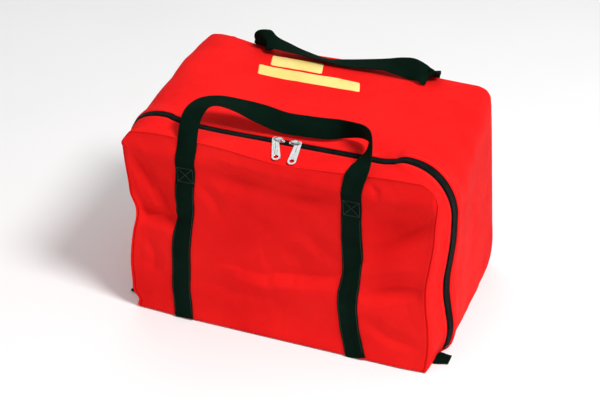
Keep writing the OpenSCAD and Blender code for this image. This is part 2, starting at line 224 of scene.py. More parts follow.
def height(y):
    return BAG_H * through(np.asarray(y) / BAG_D, HEIGHT)


def corner(y):
    return through(np.asarray(y) / BAG_D, CORNER_R)


def lean(y, z):
    xs, ys = np.array(LEAN, float).T
    share = np.interp(np.asarray(y) / BAG_D, xs, ys)
    return ZIP_LEAN * (1 - z / height(y)) * share * share * (3 - 2 * share)


def along_arch(k):
    """Rough length along the arch, in millimetres, for a place k."""
    return np.interp(k, range(6), ARCH_LENGTHS)


def proud(y, k):
    """How far the fabric stands out from the plain outline."""
    ys = [rail[0] for rail in RAILS]
    on_rails = [through(k, rail[1]) for rail in RAILS]
    total = on_rails[0]
    for i in range(1, len(RAILS)):
        total = total + (on_rails[i] - on_rails[i - 1]) * ease(y, ys[i - 1], ys[i])
    free = ZIP_SHARE + (1 - ZIP_SHARE) * ease(np.abs(y - ZIP_Y), *ZIP_CALM)
    edge = SEAM_SHARE + (1 - SEAM_SHARE) * ease(np.minimum(y - FRONT_Y, BACK_Y - y), *SEAM_CALM)
    beside = y - ZIP_Y
    turn = through(k, ZIP_TURN) * beside * np.exp(-(beside / ZIP_TURN_REACH) ** 2)
    return total + turn + crumple(along_arch(k), y, 11) * free * edge


def bag(y, k, off=0.0, foot=WALL_FOOT):
    """Points of the bag's outside at a depth y and a place k along the arch, moved out by off."""
    y, k, off = np.broadcast_arrays(np.asarray(y, float), np.asarray(k, float), np.asarray(off, float))
    wide, high, radius = half_width(y), height(y), corner(y)
    mid, flat = high - radius, wide - radius
    left = np.clip(k - 1, 0, 1) * math.pi / 2
    right = np.clip(k - 3, 0, 1) * math.pi / 2
    zero = np.zeros_like(k)
    part = [k < 1, k < 2, k < 3, k < 4]
    x = np.select(part, [-wide, -flat - radius * np.cos(left), flat * (2 * k - 5),
                         flat + radius * np.sin(right)], wide)
    z = np.select(part, [foot + (mid - foot) * k, mid + radius * np.sin(left), high,
                         mid + radius * np.cos(right)], mid - (mid - foot) * (k - 4))
    nx = np.select(part, [zero - 1, -np.cos(left), zero, np.sin(right)], 1.0)
    nz = np.select(part, [zero, np.sin(left), zero + 1, np.cos(right)], 0.0)
    out = off + proud(y, k) - rounding(z - foot, FOOT_R)
    return np.stack([x + nx * out, y + lean(y, z), z + nz * out], -1)


def arch_places(side=60, turn=26, top=86):
    """Places along the whole arch, close enough together for the folds."""
    def stretch(start, n):
        return start + np.arange(n) / n
    foot = np.array([0, 0.3, 0.8, 1.6, 3, 5]) / 300
    left = np.concatenate([foot, 0.02 + 0.98 * np.arange(1, side) / side])
    return np.concatenate([left, stretch(1, turn), stretch(2, top), stretch(3, turn), 5 - left[::-1]])


def top_place(x, y):
    """The place k of a point on the top."""
    flat = half_width(y) - corner(y)
    return 2.5 + np.asarray(x, float) / (2 * flat)


# ---- meshes
def grid_faces(rows, cols, flip=False, start=0):
    """Quads of a grid of rows and columns of points."""
    a = np.arange(rows - 1)[:, None] * cols + np.arange(cols - 1)
    b = a + cols
    quads = np.stack([a, a + 1, b + 1, b], -1).reshape(-1, 4) + start
    return (quads[:, ::-1] if flip else quads).tolist()


def sheet_faces(rows, cols, start=0, flip=False):
    """Faces of a closed sheet: a grid of points, the same grid on its other side, and a rim between them."""
    n = rows * cols
    faces = (grid_faces(rows, cols, flip=not flip, start=start)
             + grid_faces(rows, cols, flip=flip, start=start + n))
    bottom, top = list(range(cols)), [n - 1 - i for i in range(cols)]
    right = [i * cols + cols - 1 for i in range(1, rows - 1)]
    left = [i * cols for i in range(rows - 2, 0, -1)]
    rim = bottom + right + top + left
    for a, b in zip(rim, rim[1:] + rim[:1]):
        quad = [start + i for i in (a, b, b + n, a + n)]
        faces.append(quad[::-1] if flip else quad)
    return faces


def tube_faces(count, rings, sides, flip=False):
    """Faces of count tubes, each made of rings of points, with both ends closed."""
    index = np.arange(count * rings * sides).reshape(count, rings, sides)
    beside = np.roll(index, -1, axis=2)
    quads = np.stack([index[:, :-1], beside[:, :-1], beside[:, 1:], index[:, 1:]], -1).reshape(-1, 4)
    faces = quads.tolist() + index[:, 0, ::-1].tolist() + index[:, -1].tolist()
    return [face[::-1] for face in faces] if flip else faces


def make_object(name, points, faces, material, uv=None, smooth=True):
    """A mesh object from points in millimetres, with UVs in metres."""
    mesh = bpy.data.meshes.new(name)
    mesh.from_pydata((np.asarray(points, float).reshape(-1, 3) * MM).tolist(), [], faces)
    mesh.polygons.foreach_set("use_smooth", [smooth] * len(mesh.polygons))
    if uv is not None:
        index = np.zeros(len(mesh.loops), np.int32)
        mesh.loops.foreach_get("vertex_index", index)
        layer = mesh.uv_layers.new(name="Cloth")
        layer.data.foreach_set("uv", (np.asarray(uv, float).reshape(-1, 2)[index] * MM).ravel())
    mesh.materials.append(material)
    mesh.update()
    piece = bpy.data.objects.new(name, mesh)
    bpy.context.scene.collection.objects.link(piece)
    return piece


def on_body(piece, body, slot, *nodes):
    """Fixes a piece to a body, and hides the CAD nodes that it replaces. The slot argument is not used."""
    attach(piece, body)
    if nodes:
        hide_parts(*nodes)


def spaced(low, high, step, radius):
    """Places from low to high with closer ones at both round edges."""
    edge = radius * np.array([0, 0.04, 0.15, 0.4, 0.7])
    count = max(2, int(round((high - low - 2 * radius) / step)) + 1)
    return np.concatenate([low + edge, np.linspace(low + radius, high - radius, count), high - edge[::-1]])


def band(name, low, high, step, material, thick=FABRIC_T, lift=0.0, sunk=None, foot=WALL_FOOT, places=None):
    """A closed band of fabric along the arch from depth low to high. sunk says how far it is lowered."""
    ys = spaced(low, high, step, thick / 2)
    ks = arch_places() if places is None else places
    drop = rounding(np.minimum(ys - low, high - ys), thick / 2)
    extra = sunk(ys) if sunk else 0
    outer = bag(ys[:, None], ks[None, :], (lift - drop - extra)[:, None], foot)
    inner = bag(ys[:, None], ks[None, :], (lift - thick + drop - extra)[:, None], foot)
    uv = np.stack(np.broadcast_arrays(along_arch(ks)[None, :], ys[:, None]), -1)
    faces = sheet_faces(len(ys), len(ks), flip=True)
    return make_object(name, np.concatenate([outer, inner]), faces, material, np.concatenate([uv, uv]))


def patch(seam_y, across=150, up=104):
    """The X and Z of a panel inside the arch at seam_y, on a grid, with the distances from its sewn edges."""
    def edge(ks):
        return bag(seam_y, ks)[:, [0, 2]]

    # More lines at the turned edges, the seam and the ground
    close = np.array([1.2, 3, *(SEAM_IN + SEAM_HALF * np.array([-1, -0.5, 0, 0.5, 1]))])
    sides, top, ground = close / BAG_W, close / BAG_H, [0.003, 0.008]
    s = np.sort(np.concatenate([np.linspace(0, 1, across), sides, 1 - sides]))
    t = np.sort(np.concatenate([np.linspace(0, 1, up), ground, 1 - top]))
    corner_k = 1.5
    left, right = edge(corner_k * t), edge(5 - corner_k * t)
    top = edge(corner_k + (5 - 2 * corner_k) * s)
    bottom = left[0] + (right[0] - left[0]) * s[:, None]
    a, b = s[None, :, None], t[:, None, None]
    corners = ((1 - a) * (1 - b) * left[0] + a * (1 - b) * right[0]
               + (1 - a) * b * left[-1] + a * b * right[-1])
    xz = (1 - b) * bottom[None] + b * top[None] + (1 - a) * left[:, None] + a * right[:, None] - corners
    sides = np.minimum(s, 1 - s)[None, :] * BAG_W
    from_edge = np.minimum(sides, (1 - t)[:, None] * BAG_H)
    return xz[..., 0], xz[..., 1], from_edge


def panel(name, x, z, outer_y, inner_y, material):
    """A closed panel between two depths given on a grid."""
    points = np.concatenate([np.stack([x, outer_y, z], -1), np.stack([x, inner_y, z], -1)])
    faces = sheet_faces(*x.shape, flip=np.mean(outer_y) < np.mean(inner_y))
    return make_object(name, points, faces, material, np.concatenate([np.stack([x, z], -1)] * 2))


# ---- webbing and thread
def run_length(points):
    """The length along a line of points, at each of them."""
    return np.concatenate([[0], np.cumsum(np.linalg.norm(np.diff(points, axis=0), axis=1))])


def glide(rows, steps):
    """A smooth line through rows of points, with steps between each two."""
    rows = np.array(rows, float)
    last = len(rows) - 1
    made = []
    for i in range(last):
        a, b, c, d = rows[max(i - 1, 0)], rows[i], rows[i + 1], rows[min(i + 2, last)]
        for step in range(steps):
            t = step / steps
            made.append((2 * b + (c - a) * t + (2 * a - 5 * b + 4 * c - d) * t * t
                         + (3 * b - a - 3 * c + d) * t ** 3) / 2)
    return np.array(made + [rows[last]])


def strap_section(wide, thick, flat_points=9):
    """Offsets across and through a strap, once round it, with round edges."""
    r = thick / 2
    across = np.linspace(-wide / 2 + r, wide / 2 - r, flat_points)
    turn = np.radians([60, 20, -20, -60])
    right = np.stack([wide / 2 - r + r * np.cos(turn), r * np.sin(turn)], -1)
    left = -right
    face = np.stack([across, np.full(flat_points, r)], -1)
    under = np.stack([across[::-1], np.full(flat_points, -r)], -1)
    return np.concatenate([face, right, under, left])


def strap(name, centres, widths, material, wide=WEB_W, thick=WEB_T, taper=None, settle=None):
    """A flat strap along centres, with widths as the direction across it. settle may move its points."""
    along = unit(np.gradient(centres, axis=0))
    across = unit(widths - (widths * along).sum(-1, keepdims=True) * along)
    face = np.cross(along, across)
    section = strap_section(wide, thick)
    scale = np.ones(len(centres)) if taper is None else taper
    u = section[:, 0][None, :] * scale[:, None]
    points = (centres[:, None] + across[:, None] * u[..., None]
              + face[:, None] * section[:, 1][None, :, None])
    if settle is not None:
        points = settle(points, section, face)
    rows, cols = points.shape[:2]
    uv = np.stack([np.broadcast_to(section[:, 0], (rows, cols)),
                   np.broadcast_to(run_length(centres)[:, None], (rows, cols))], -1)
    return make_object(name, points, tube_faces(1, rows, cols), material, uv)


def stitches(holes, normals, thread_r):
    """Points and faces of the stitches between the holes of a seam, each a short low hump of thread."""
    sides = 6
    t = np.array([0.08, 0.2, 0.5, 0.8, 0.92])
    thick = np.array([0.35, 0.9, 1, 0.9, 0.35]) * thread_r
    hump = thread_r * (1.3 * np.sin(math.pi * t) - 0.3)
    a, b = holes[:-1], holes[1:]
    up = unit(normals[:-1])
    run = unit(b - a)
    side = unit(np.cross(run, up))
    line = a[:, None] + (b - a)[:, None] * t[None, :, None] + up[:, None] * hump[None, :, None]
    angle = 2 * math.pi * np.arange(sides) / sides
    ring = (side[:, None, None] * np.cos(angle)[None, None, :, None]
            + up[:, None, None] * np.sin(angle)[None, None, :, None])
    points = line[:, :, None] + ring * thick[None, :, None, None]
    return points.reshape(-1, 3), tube_faces(len(a), len(t), sides, flip=True)


def sewn(name, lines, thread_r, material):
    """One object of the stitches along several lines of (holes, normals)."""
    points, faces = [], []
    for holes, normals in lines:
        start = sum(len(p) for p in points)
        p, f = stitches(np.asarray(holes, float), np.asarray(normals, float), thread_r)
        points.append(p)
        faces += [[start + i for i in face] for face in f]
    return make_object(name, np.concatenate(points), faces, material)


def evenly(points, gap):
    """Points along a line, a gap apart, with the share of the line's own points at each."""
    run = run_length(points)
    at = np.arange(0, run[-1], gap)
    places = np.stack([np.interp(at, run, points[:, i]) for i in range(3)], -1)
    return places, np.interp(at, run, np.arange(len(points)))


# ---- materials
class Nodes:
    """A material's node tree, with short calls to add and link nodes."""

    def __init__(self, name):
        self.material = bpy.data.materials.new(name)
        self.material.use_nodes = True
        self.tree = self.material.node_tree
        self.shader = self.tree.nodes["Principled BSDF"]

    def add(self, kind, **settings):
        node = self.tree.nodes.new("ShaderNode" + kind)
        for key, value in settings.items():
            if key in node.inputs:
                node.inputs[key].default_value = value
            else:
                setattr(node, key, value)
        return node

    def link(self, source, target):
        self.tree.links.new(source, target)

    def feed(self, socket, value):
        """Links a socket to another one, or sets its value."""
        if isinstance(value, bpy.types.NodeSocket):
            self.link(value, socket)
        else:
            socket.default_value = value

    def math(self, operation, *values):
        node = self.add("Math", operation=operation)
        for socket, value in zip(node.inputs, values):
            self.feed(socket, value)
        return node.outputs[0]

    def noise(self, scale, detail, roughness=0.5):
        node = self.add("TexNoise", Scale=scale, Detail=detail, Roughness=roughness)
        self.link(self.add("TexCoord").outputs["Object"], node.inputs["Vector"])
        return node.outputs["Fac"]

    def ramp(self, source, stops):
        node = self.add("ValToRGB")
        elements = node.color_ramp.elements
        while len(elements) < len(stops):
            elements.new(0.5)
        for element, (position, colour) in zip(elements, stops):
            element.position = position
            element.color = (*colour, 1)
        self.link(source, node.inputs["Fac"])
        return node.outputs["Color"]

    def span(self, source, low, high, out_low, out_high):
        node = self.add("MapRange")
        for socket, value in zip(node.inputs, (source, low, high, out_low, out_high)):
            self.feed(socket, value)
        return node.outputs[0]

    def blend(self, share, a, b):
        node = self.add("Mix", data_type="RGBA")
        self.link(share, node.inputs[0])
        for socket, colour in ((node.inputs[6], a), (node.inputs[7], b)):
            self.feed(socket, (*colour, 1) if isinstance(colour, tuple) else colour)
        return node.outputs[2]

    def bump(self, height, strength, distance, below=None):
        node = self.add("Bump", Strength=strength, Distance=distance)
        self.link(height, node.inputs["Height"])
        if below is not None:
            self.link(below, node.inputs["Normal"])
        return node.outputs["Normal"]

    def set(self, **values):
        for name, value in values.items():
            self.feed(self.shader.inputs[name.replace("_", " ")], value)

    def uv(self):
        node = self.add("UVMap", uv_map="Cloth")
        split = self.add("SeparateXYZ")
        self.link(node.outputs["UV"], split.inputs[0])
        return split.outputs["X"], split.outputs["Y"]

    def waves(self, coordinate, pitch):
        """A sine along a coordinate in metres, with a pitch in millimetres."""
        return self.math("SINE", self.math("MULTIPLY", coordinate, 2 * math.pi / (pitch * MM)))


RED_YARN = 1.1


def red_nylon():
    """Coated packcloth: a plain weave of thick yarns, slightly uneven dye and a few rubbed places."""
    n = Nodes("red_nylon")
    u, v = n.uv()
    weave = n.math("MULTIPLY", n.waves(u, RED_YARN), n.waves(v, RED_YARN))
    slub = n.noise(900, 3)
    dye = n.noise(5, 4, roughness=0.6)
    mottle = n.noise(60, 3)
    colour = n.ramp(dye, [(0.3, (0.68, 0.007, 0.0078)), (0.5, (0.77, 0.0105, 0.0104)),
                          (0.72, (0.83, 0.0145, 0.013))])
    yarn = n.span(weave, -1, 1, 0.0, 0.16)
    colour = n.blend(yarn, colour, (0.88, 0.022, 0.018))
    worn = n.span(mottle, 0.62, 0.8, 0.0, 0.22)
    colour = n.blend(worn, colour, (0.58, 0.004, 0.007))
    surface = n.bump(weave, 0.22, 0.00035)
    surface = n.bump(slub, 0.1, 0.0004, surface)
    surface = n.bump(n.noise(38, 4), 0.16, 0.003, surface)
    n.set(Base_Color=colour, Normal=surface, Roughness=n.span(mottle, 0.3, 0.7, 0.5, 0.62),
          Sheen_Weight=0.02, Sheen_Roughness=0.4, Sheen_Tint=(0.9, 0.04, 0.03, 1), Specular_IOR_Level=0.01)
    return n.material


def black_webbing():
    """Nylon webbing: ribs along it, crossed by slanted yarns that turn back at the middle."""
    n = Nodes("black_webbing")
    u, v = n.uv()
    rib = n.waves(u, 2.1)
    slant = n.math("ADD", v, n.math("MULTIPLY", n.math("ABSOLUTE", u), 0.7))
    pick = n.waves(slant, 1.9)
    height = n.math("MULTIPLY", rib, pick)
    fuzz = n.noise(700, 3)
    wear = n.noise(22, 4)
    colour = n.ramp(wear, [(0.3, (0.0008, 0.0048, 0.0028)), (0.6, (0.002, 0.01, 0.0058)),
                           (0.8, (0.004, 0.018, 0.0105))])
    # Painted highlight on the raised crests of the ribs and yarns and painted shade in the hollows between
    # them: the higher the weave, the lighter the colour
    colour = n.blend(n.span(height, -1, 1, 0.0, 0.45), colour, (0.0075, 0.03, 0.0175))
    surface = n.bump(height, 0.8, 0.0008)
    surface = n.bump(fuzz, 0.15, 0.0004, surface)
    n.set(Base_Color=colour, Normal=surface, Roughness=n.span(wear, 0.3, 0.7, 0.55, 0.72),
          Specular_IOR_Level=0.015)
    return n.material


def black_tape():
    """Zipper tape: a fine close weave."""
    n = Nodes("zipper_tape")
    u, v = n.uv()
    weave = n.math("MULTIPLY", n.waves(u, 0.9), n.waves(v, 0.7))
    colour = n.ramp(n.noise(40, 3), [(0.3, (0.002, 0.003, 0.003)), (0.7, (0.006, 0.009, 0.008))])
    colour = n.blend(n.span(weave, -1, 1, 0.0, 0.3), colour, (0.012, 0.017, 0.015))
    n.set(Base_Color=colour, Normal=n.bump(weave, 0.4, 0.0003), Roughness=0.75, Specular_IOR_Level=0.04)
    return n.material


def coil_nylon():
    """The coil's nylon: black, a little shiny where it is rubbed."""
    n = Nodes("coil_nylon")
    wear = n.noise(90, 3)
    colour = n.ramp(wear, [(0.3, (0.0015, 0.003, 0.0025)), (0.7, (0.006, 0.011, 0.009))])
    n.set(Base_Color=colour, Normal=n.bump(n.noise(600, 2), 0.1, 0.0003),
          Roughness=n.span(wear, 0.3, 0.7, 0.34, 0.5), Specular_IOR_Level=0.12)
    return n.material


def polished_metal(name, colour, rough):
    """Plated zinc with faint casting ripples, rubbing marks and dull spots."""
    n = Nodes(name)
    rub = n.noise(240, 4)
    spots = n.noise(60, 4, roughness=0.7)
    tone = n.blend(n.span(spots, 0.45, 0.75, 0.0, 0.5), colour, tuple(c * 0.82 for c in colour))
    surface = n.bump(n.noise(90, 2), 0.05, 0.0005)
    surface = n.bump(n.noise(1500, 2), 0.012, 0.0001, surface)
    n.set(Base_Color=tone, Metallic=1.0, Normal=surface,
          Roughness=n.span(rub, 0.35, 0.7, rough, rough + 0.14))
    return n.material


def print_ink():
    """Thick pale yellow ink that lets the weave through and has cracked a little."""
    n = Nodes("print_ink")
    u, v = n.uv()
    weave = n.math("MULTIPLY", n.waves(u, RED_YARN), n.waves(v, RED_YARN))
    crack = n.noise(130, 5, roughness=0.7)
    colour = n.ramp(n.noise(18, 4), [(0.3, (0.84, 0.62, 0.16)), (0.6, (0.88, 0.7, 0.22)),
                                     (0.85, (0.92, 0.78, 0.32))])
    colour = n.blend(n.span(crack, 0.67, 0.76, 0.0, 0.55), colour, (0.8, 0.22, 0.06))
    surface = n.bump(crack, 0.2, 0.0004, n.bump(weave, 0.18, 0.0003))
    n.set(Base_Color=colour, Normal=surface, Roughness=n.span(crack, 0.3, 0.7, 0.42, 0.6))
    return n.material


def thread(name, low, high):
    """Twisted thread between a low and a high colour."""
    n = Nodes(name)
    twist = n.noise(1400, 2)
    n.set(Base_Color=n.ramp(twist, [(0.3, low), (0.7, high)]), Normal=n.bump(twist, 0.3, 0.0003),
          Roughness=0.6, Sheen_Weight=0.1)
    return n.material


def board_plastic():
    """Grey-black polypropylene sheet with a fine pebble grain and scuffs."""
    n = Nodes("board_plastic")
    scuff = n.noise(30, 5, roughness=0.7)
    colour = n.ramp(scuff, [(0.35, (0.012, 0.012, 0.014)), (0.75, (0.035, 0.035, 0.038))])
    n.set(Base_Color=colour, Normal=n.bump(n.noise(520, 3), 0.25, 0.0004),
          Roughness=n.span(scuff, 0.3, 0.7, 0.45, 0.65))
    return n.material


def floor_paint():
    """Pale matt paint."""
    n = Nodes("floor_paint")
    low, high = (0.86, 0.86, 0.86), (0.88, 0.88, 0.88)
    n.set(Base_Color=n.ramp(n.noise(2, 2), [(0.3, low), (0.7, high)]), Roughness=0.9)
    return n.material


# ---- camera, light and floor, in metres
CAMERA_AZIMUTH = math.radians(22.03)
CAMERA_ELEVATION = math.radians(29.99)
CAMERA_DISTANCE = 2.918
CAMERA_TARGET = Vector((-0.0266, 0, 0.1818))
CAMERA_LENS = 91.47
SKY = 0.49
# Name, place, size and power of each light, and the point that they all face
LIGHTS = [("key", (2.0, -0.9, 3.2), 1.1, 128), ("fill", (-1.6, -2.6, 2.0), 2.0, 6),
          ("rim", (-1.1, 1.9, 2.7), 2.4, 12)]
LIT_POINT = Vector((0, 0, 0.2))
FLOOR_SIZE = 30


def add_camera():
    """The view from the front right and above."""
    level = math.cos(CAMERA_ELEVATION)
    back = Vector((math.sin(CAMERA_AZIMUTH) * level, -math.cos(CAMERA_AZIMUTH) * level,
                   math.sin(CAMERA_ELEVATION)))
    data = bpy.data.cameras.new("camera")
    data.lens = CAMERA_LENS
    camera = bpy.data.objects.new("camera", data)
    camera.location = CAMERA_TARGET + back * CAMERA_DISTANCE
    camera.rotation_mode = "QUATERNION"
    camera.rotation_quaternion = (-back).to_track_quat("-Z", "Y")
    bpy.context.scene.collection.objects.link(camera)
    bpy.context.scene.camera = camera


def add_light(name, place, size, power):
    """A round soft light."""
    data = bpy.data.lights.new(name, "AREA")
    data.shape, data.size, data.energy = "DISK", size, power
    light = bpy.data.objects.new(name, data)
    light.location = place
    light.rotation_mode = "QUATERNION"
    light.rotation_quaternion = (Vector(place) - LIT_POINT).to_track_quat("Z", "Y")
    bpy.context.scene.collection.objects.link(light)


def add_studio():
    """A white sky, the lights and a pale floor."""
    world = bpy.data.worlds.new("studio")
    world.use_nodes = True
    sky = world.node_tree.nodes["Background"]
    sky.inputs["Color"].default_value = (1, 1, 1, 1)
    sky.inputs["Strength"].default_value = SKY
    bpy.context.scene.world = world
    bpy.context.scene.view_settings.view_transform = "Standard"
    for light in LIGHTS:
        add_light(*light)
    corners = np.array([(-1, -1, 0), (1, -1, 0), (1, 1, 0), (-1, 1, 0)]) * FLOOR_SIZE / MM
    floor = make_object("floor", corners, [[0, 1, 2, 3]], floor_paint(), smooth=False)


# ---- the fabric pieces
# The slope of the top at the zipper, taken between two depths as shares of the bag's
NEAR, FAR = -0.348, -0.391
ZIP_SLOPE = math.atan((height(NEAR * BAG_D) - height(FAR * BAG_D)) / ((NEAR - FAR) * BAG_D))
# Half the gap that shows the coil, along the slope, and the depths of the fabric's edges beside it
GAP_V = 7.6
REAR_EDGE = ZIP_Y + GAP_V * math.cos(ZIP_SLOPE)
FRONT_EDGE = ZIP_Y - GAP_V * math.cos(ZIP_SLOPE)
# Depths of the front seam, of the front panel's plain face and of the back seam
SEAM_Y = -200.8
PANEL_Y = -204.4
BACK_SEAM_Y = BACK_Y - 1.2
# Radius of the fabric as it turns into a seam
GROOVE_R = 3.2
# How far the coil lies under the fabric's face
COIL_DOWN = 1
THREAD_R = 0.42


def add_wrap(red):
    """The top and both sides, drawn in a little at the back seam."""
    wrap = band("wrap", REAR_EDGE, BACK_SEAM_Y, 4.2, red,
                sunk=lambda ys: 0.6 * rounding(BACK_SEAM_Y - ys, GROOVE_R))
    on_body(wrap, "root", "red_fabric", "body_wrap")


def add_gusset(red):
    """The band between the front panel's seam and the zipper."""
    gusset = band("gusset", SEAM_Y, FRONT_EDGE, 2.6, red, foot=FLAP_FOOT,
                  sunk=lambda ys: rounding(ys - SEAM_Y, GROOVE_R))
    on_body(gusset, "flap", "red_fabric", "front_gusset")


def fold_depth(x, z, line, depth, left_reach, right_reach):
    """A crease along a line of points: deepest on the line, and fading out at both of its ends."""
    line = np.array(line, float)
    lengths = np.linalg.norm(np.diff(line, axis=0), axis=1)
    total, start = lengths.sum(), 0.0
    nearest = np.full(x.shape, np.inf)
    side = np.zeros(x.shape)
    share = np.zeros(x.shape)
    for a, b, length in zip(line, line[1:], lengths):
        dx, dz = (b - a) / length
        t = np.clip((x - a[0]) * dx + (z - a[1]) * dz, 0, length)
        px, pz = x - a[0] - t * dx, z - a[1] - t * dz
        away = np.hypot(px, pz)
        closer = away < nearest
        side = np.where(closer, dx * pz - dz * px, side)
        share = np.where(closer, (start + t) / total, share)
        nearest = np.where(closer, away, nearest)
        start += length
    fade = np.sin(math.pi * (FOLD_END + (1 - 2 * FOLD_END) * share)) ** 0.7
    reach = np.where(side >= 0, left_reach, right_reach)
    return depth * fade * np.clip(1 - nearest / reach, 0, 1) ** FOLD_SHARPNESS


def front_depth(x, z):
    """How far the front panel lies behind its plain plane, at X and Z."""
    sunk = sum(fold_depth(x, z, *fold) for fold in FRONT_FOLDS)
    for (mx, mz), (sx, sz), depth in FRONT_HOLLOWS:
        sunk = sunk + depth * np.exp(-((x - mx) / sx) ** 2 - ((z - mz) / sz) ** 2)
    roll = ROLL_OUT * np.exp(-((z - ROLL_Z) / ROLL_HALF) ** 2)
    return np.maximum(sunk + crumple(x, z, 31) + FRONT_DEPTH, -FRONT_PROUD) - roll


def sag(x, z):
    """How far the lower edge of the front stands forward."""
    fade = ease(BAG_W / 2 - x, *SAG_RIGHT) * ease(BAG_W / 2 + x, *SAG_LEFT)
    return SAG * np.exp(-((z - WALL_FOOT) / SAG_H) ** 2) * fade


def front_face(x, z, edge=BAG_W):
    """Depth of the front panel's outside at X and Z, at a distance from its sewn edge."""
    sunk = front_depth(x, z) * ease(edge, 0, FRONT_EDGE_CALM) * ease(z, 0, FRONT_FOOT_CALM)
    line = SEAM_DEEP * np.clip(1 - np.abs(edge - SEAM_IN) / SEAM_HALF, 0, 1)
    turned = 1.15 * rounding(edge, GROOVE_R) + 0.4 * rounding(z - WALL_FOOT, 5)
    return PANEL_Y + sunk + line + turned - sag(x, z)


def add_front_panel(red):
    """The front, one piece that also stands for the hinge seam at its foot."""
    x, z, edge = patch(SEAM_Y, across=230, up=160)
    outer = front_face(x, z, edge)
    inner = outer + FABRIC_T - 0.9 * rounding(edge, 2)
    piece = panel("front_panel_fabric", x, z, outer, inner, red)
    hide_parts("front_panel", "front_hinge_seam")
    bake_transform(piece)
    return piece


def back_face(x, z, edge=BAG_W):
    """Depth of the back panel's outside at X and Z, at a distance from its sewn edge."""
    crown = 0.3 + 3.5 * ease(edge, 0, 90)
    slack = 1.2 * crumple(x, z, 53) * ease(edge, 0, 40)
    turned = 0.8 * rounding(edge, GROOVE_R) + 0.6 * rounding(z - WALL_FOOT, 8)
    return BACK_Y + crown + slack - turned


def add_back_panel(red):
    """The back, a little crowned."""
    x, z, edge = patch(BACK_SEAM_Y, across=110, up=76)
    outer = back_face(x, z, edge)
    piece = panel("back_panel_fabric", x, z, outer, outer - FABRIC_T, red)
    on_body(piece, "root", "red_fabric", "back_panel")


def add_base_panel(red):
    """The sheet under the bag, out to the walls."""
    inset, low, high, wall_k = 3.0, 2.2, 3.7, 0.02
    ys = np.concatenate([[FRONT_Y - 0.2], np.linspace(-198, 196, 52), [BACK_Y - 1.5]])
    left, right = bag(ys, wall_k), bag(ys, 5 - wall_k)
    s = np.linspace(0, 1, 61)
    x = (left[:, 0] + inset)[:, None] * (1 - s) + (right[:, 0] - inset)[:, None] * s
    y = left[:, 1][:, None] * (1 - s) + right[:, 1][:, None] * s
    y = np.clip(y, FRONT_Y, BACK_Y - 1)
    lift = 0.35 * np.abs(lumps(x, y, 60, 71))
    points = np.concatenate([np.stack([x, y, 0 * x + low], -1), np.stack([x, y, high + lift], -1)])
    uv = np.concatenate([np.stack([x, y], -1)] * 2)
    piece = make_object("base_panel_fabric", points, sheet_faces(*x.shape), red, uv)
    on_body(piece, "root", "red_fabric", "base_panel")


# Tape folded over the seams inside: its thickness, and how far it lies under the fabric's face
BINDING_T = 1.6
BINDING_DOWN = FABRIC_T + 0.7


def add_bindings(tape):
    """Tape over the seams inside the back and the front."""
    ks = np.linspace(0.06, 4.94, 200)
    back = band("back_binding_tape", BACK_Y - 13, BACK_Y - 3.2, 3, tape, thick=BINDING_T, lift=-BINDING_DOWN,
                places=ks)
    on_body(back, "root", "black_tape", "back_binding")
    front = band("front_binding_tape", SEAM_Y + 2.4, SEAM_Y + 10.8, 3, tape, thick=BINDING_T,
                 lift=-BINDING_DOWN, foot=FLAP_FOOT, places=ks)
    on_body(front, "flap", "black_tape", "front_binding")


def add_base_binding(tape):
    """Tape round the seam of the base, along the sides and the back."""
    inset, low, high, wall_k, r = 6.5, 7.5, 16, 0.04, 12
    ys = np.linspace(-96, 182, 40)
    left, right = bag(ys, wall_k), bag(ys[::-1], 5 - wall_k)
    turn = np.linspace(0, math.pi / 2, 7)[1:-1]
    back_y, x0, x1 = BACK_Y - inset, left[-1, 0] + inset, right[0, 0] - inset
    near = np.stack([x0 + r * (1 - np.cos(turn)), back_y - r + r * np.sin(turn)], -1)
    far = np.stack([x1 - r * (1 - np.sin(turn)), back_y - r + r * np.cos(turn)], -1)
    middle = [[x0 + r, back_y], [0, back_y], [x1 - r, back_y]]
    line = np.concatenate([left[:, :2] + [inset, 0], near, middle, far, right[:, :2] - [inset, 0]])
    centres = np.column_stack([line, np.full(len(line), (low + high) / 2)])
    widths = np.tile([0.0, 0.0, 1.0], (len(line), 1))
    piece = strap("base_binding_tape", centres, widths, tape, wide=high - low, thick=BINDING_T)
    on_body(piece, "root", "black_tape", "base_binding")


def add_print(ink):
    """Two plain bars on the top, with slanted ends and round corners."""
    bars = [(-134, -28, 114, 160), (-140, 66, 66, 106)]
    slant, low, high, r = -14, 0.05, 0.35, 4
    s, t = np.linspace(0, 1, 60)[None, :], np.linspace(0, 1, 24)[:, None]
    points, faces, uvs = [], [], []
    for x0, x1, y0, y1 in bars:
        y = y0 + (y1 - y0) * t + 0 * s
        inset = rounding(np.minimum(y - y0, y1 - y), r)
        x = (x0 + inset) * (1 - s) + (x1 - inset) * s + slant * t
        surface = bag(y, top_place(x, y))
        faces += sheet_faces(*x.shape, start=sum(len(p) for p in points))
        points.append(np.concatenate([surface + [0, 0, low], surface + [0, 0, high]]).reshape(-1, 3))
        uvs.append(np.concatenate([np.stack([x, y], -1)] * 2).reshape(-1, 2))
    piece = make_object("top_print_bars", np.concatenate(points), faces, ink, np.concatenate(uvs))
    on_body(piece, "root", "print_ink", "top_print")


